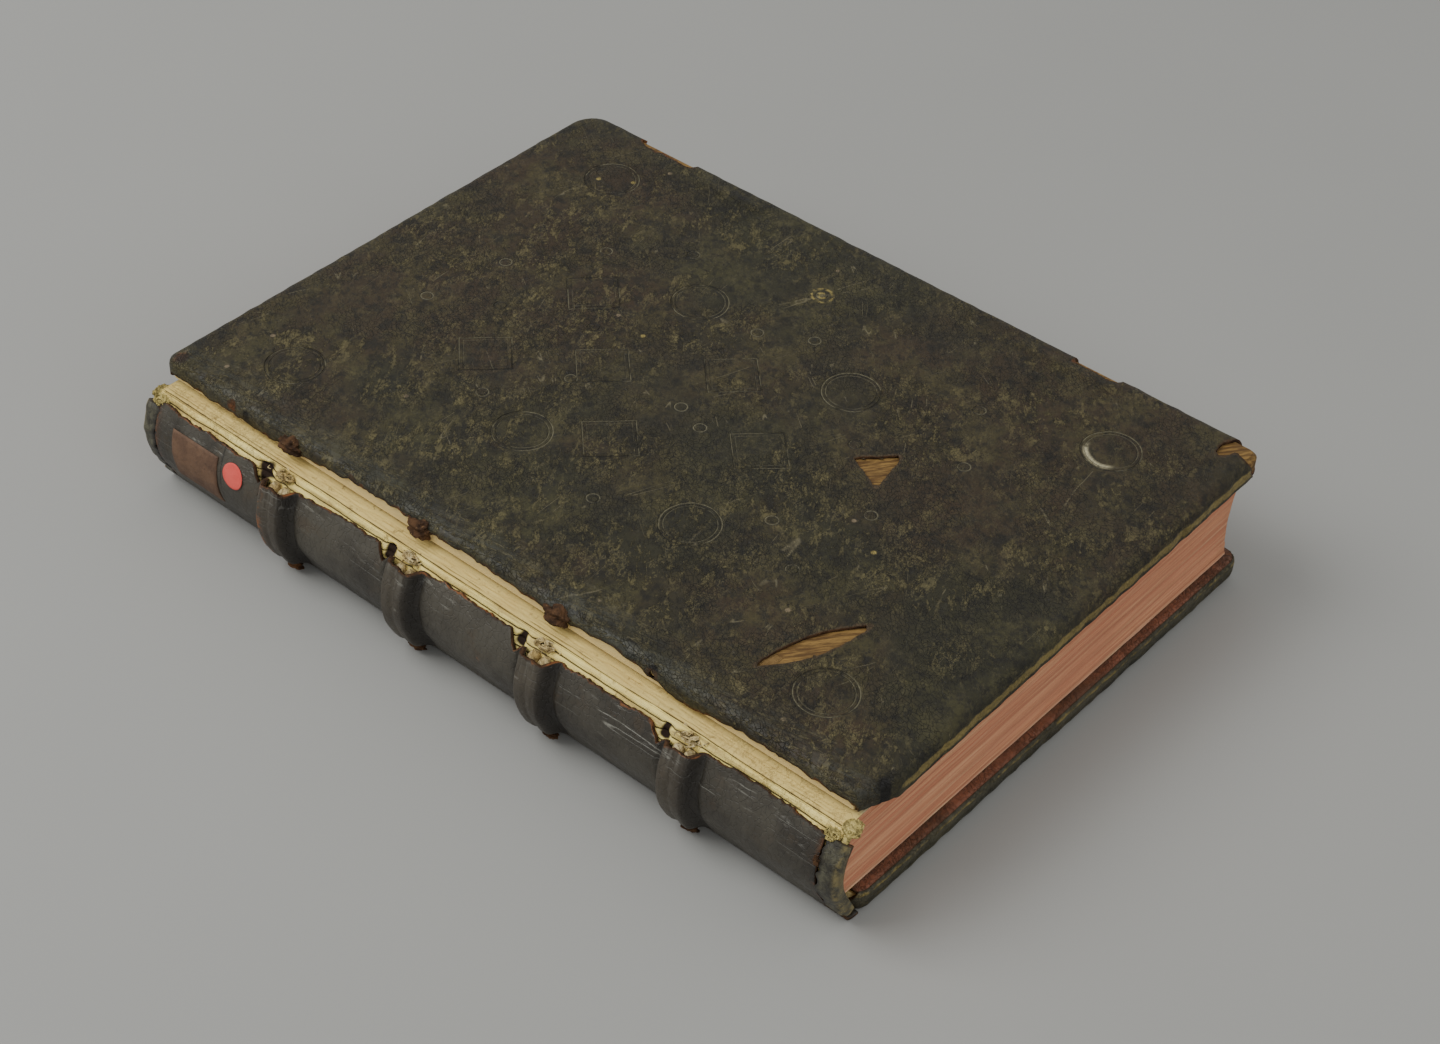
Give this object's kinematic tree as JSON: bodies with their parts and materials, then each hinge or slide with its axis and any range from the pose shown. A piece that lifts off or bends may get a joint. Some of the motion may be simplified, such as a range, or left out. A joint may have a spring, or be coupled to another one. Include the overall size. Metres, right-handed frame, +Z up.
{
  "type": "antique leather book",
  "caption": "Closed folio book in worn blind-tooled leather over wooden boards, with raised bands, a split upper joint, hinged covers and a red-stained page edge.",
  "frame": {"origin": "under the middle of the closed book, on the surface that it lies on", "axes": "+Z up, from the back cover to the front cover; +Y from the tail of the spine to its head; +X from the spine to the fore edge"},
  "size_m": [0.2352, 0.31, 0.0565],
  "materials": {
    "board_wood": "dry old board, bare where the leather is torn",
    "peg_wood": "dry",
    "cover_leather": "dark olive brown, crackled, scuffed and blind tooled",
    "spine_leather": "dark grey, smooth panels, worn on the bands",
    "torn_leather": "rust brown torn leather",
    "label_leather": "faded reddish brown, bare",
    "page_paper": "cream folds on the back, edges stained dull red",
    "paste_paper": "plain old paper",
    "sewing_cord": "hemp cord",
    "endband_thread": "frayed pale green and cream thread",
    "sticker_paper": "bare light red paper"
  },
  "bodies": {
    "back_cover": {"back_board": "board_wood", "back_leather": "cover_leather", "back_slips": "sewing_cord", "back_pegs": "peg_wood", "back_pastedown": "paste_paper"},
    "book_block": {"text_block": "page_paper", "sewing_cords": "sewing_cord", "spine_leather": "spine_leather", "head_cap": "spine_leather", "tail_cap": "spine_leather", "head_endband": "endband_thread", "tail_endband": "endband_thread", "title_label": "label_leather", "round_sticker": "sticker_paper"},
    "front_cover": {"front_board": "board_wood", "front_leather": "cover_leather", "front_slips": "sewing_cord", "front_pegs": "peg_wood", "front_pastedown": "paste_paper", "band_leather_stubs": "torn_leather"}
  },
  "joints": [
    {"name": "back_joint", "type": "hinge", "parent": "back_cover", "child": "book_block", "pos_m": [-0.0989, 0, 0.003], "axis": [0, -1, 0], "range_deg": [0, 110]},
    {"name": "front_joint", "type": "hinge", "parent": "book_block", "child": "front_cover", "pos_m": [-0.09903, 0, 0.04588], "axis": [0, -1, 0], "range_deg": [0, 180]}
  ]
}
